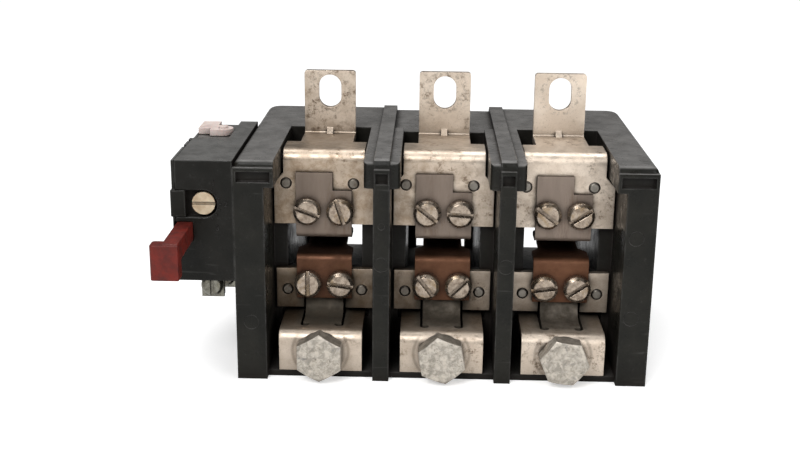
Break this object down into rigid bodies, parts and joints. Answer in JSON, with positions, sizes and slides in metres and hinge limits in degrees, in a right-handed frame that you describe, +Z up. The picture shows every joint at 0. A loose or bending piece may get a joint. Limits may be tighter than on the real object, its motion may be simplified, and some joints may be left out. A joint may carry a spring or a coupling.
{
  "type": "thermal overload relay",
  "caption": "Three-pole bimetal overload relay: dark moulded case with open bays, upright slotted contactor tabs, bolted load terminals and a side module with dial and reset.",
  "frame": {"origin": "middle of the underside, below the middle pole, in the plane of the busbar plates' front faces", "axes": "+X across the poles towards the end away from the side module, +Y from the terminals back into the case, +Z up towards the contactor tabs"},
  "size_m": [0.1755, 0.1328, 0.1066],
  "materials": {
    "moulding": "matte, slightly grained",
    "rear_cover": "matte",
    "busbar": "dull tin plating",
    "heater": "heat-tinted bimetal",
    "copper": "dull copper",
    "zinc_screw": "zinc plated, tarnished",
    "bolt": "zinc plated, mottled",
    "rivet": "dull",
    "trip_link": "matte",
    "module": "matte",
    "dial": "semi-gloss ivory",
    "reset": "semi-gloss red",
    "selector": "semi-gloss off-white",
    "spring": "bright wire",
    "contact": "dull",
    "aux_screw": "dull grey plating"
  },
  "bodies": {
    "case": {"housing": "moulding", "rear_cover": "rear_cover", "rear_cover_screws": "zinc_screw", "line_screws": "zinc_screw", "load_screws": "zinc_screw", "busbar_rivets": "rivet", "terminal_bolts": "bolt", "terminal_washers": "bolt", "module_case": "module", "module_cover": "module", "module_screws": "aux_screw", "front_contact": "contact", "back_contact": "contact", "terminal_clamps": "aux_screw", "terminal_screws": "aux_screw", "line_busbar_1": "busbar", "load_busbar_1": "busbar", "heater_strip_1": "heater", "return_strap_1": "copper", "line_busbar_2": "busbar", "load_busbar_2": "busbar", "heater_strip_2": "heater", "return_strap_2": "copper", "line_busbar_3": "busbar", "load_busbar_3": "busbar", "heater_strip_3": "heater", "return_strap_3": "copper"},
    "dial": {"setting_dial": "dial", "dial_cam": "trip_link"},
    "reset": {"reset_button": "reset", "reset_spring": "spring"},
    "selector": {"mode_selector": "selector"},
    "trip": {"trip_shaft": "trip_link", "trip_finger_1": "trip_link", "trip_finger_2": "trip_link", "trip_finger_3": "trip_link", "trip_arm": "trip_link", "compensator_strip": "heater"},
    "contact": {"contact_carrier": "trip_link", "contact_bridge": "contact", "contact_spring": "spring"}
  },
  "joints": [
    {"name": "reset_slide", "type": "slide", "parent": "case", "child": "reset", "axis": [0, 1, 0], "range_m": [0, 0.004], "stiffness_N_per_m": 300, "springref_m": -0.002, "deforming": ["reset_spring"]},
    {"name": "dial_turn", "type": "hinge", "parent": "case", "child": "dial", "pos_m": [-0.0861, -0.0234, 0.0673], "axis": [0, -1, 0], "range_deg": [-110, 110]},
    {"name": "selector_swing", "type": "hinge", "parent": "case", "child": "selector", "pos_m": [-0.0866, 0.0255, 0.0817], "axis": [0, 0, 1], "range_deg": [0, 20]},
    {"name": "trip_turn", "type": "hinge", "parent": "case", "child": "trip", "pos_m": [0, 0.026, 0.056], "axis": [1, 0, 0], "range_deg": [0, 4], "stiffness_Nm_per_rad": 0.2, "springref_deg": -2.86},
    {"name": "contact_slide", "type": "slide", "parent": "case", "child": "contact", "axis": [0, 0, -1], "range_m": [0, 0.00175], "deforming": ["contact_spring"]}
  ],
  "couplings": [
    {"joint": "contact_slide", "follows": "trip_turn", "m_per_rad": 0.0245}
  ]
}
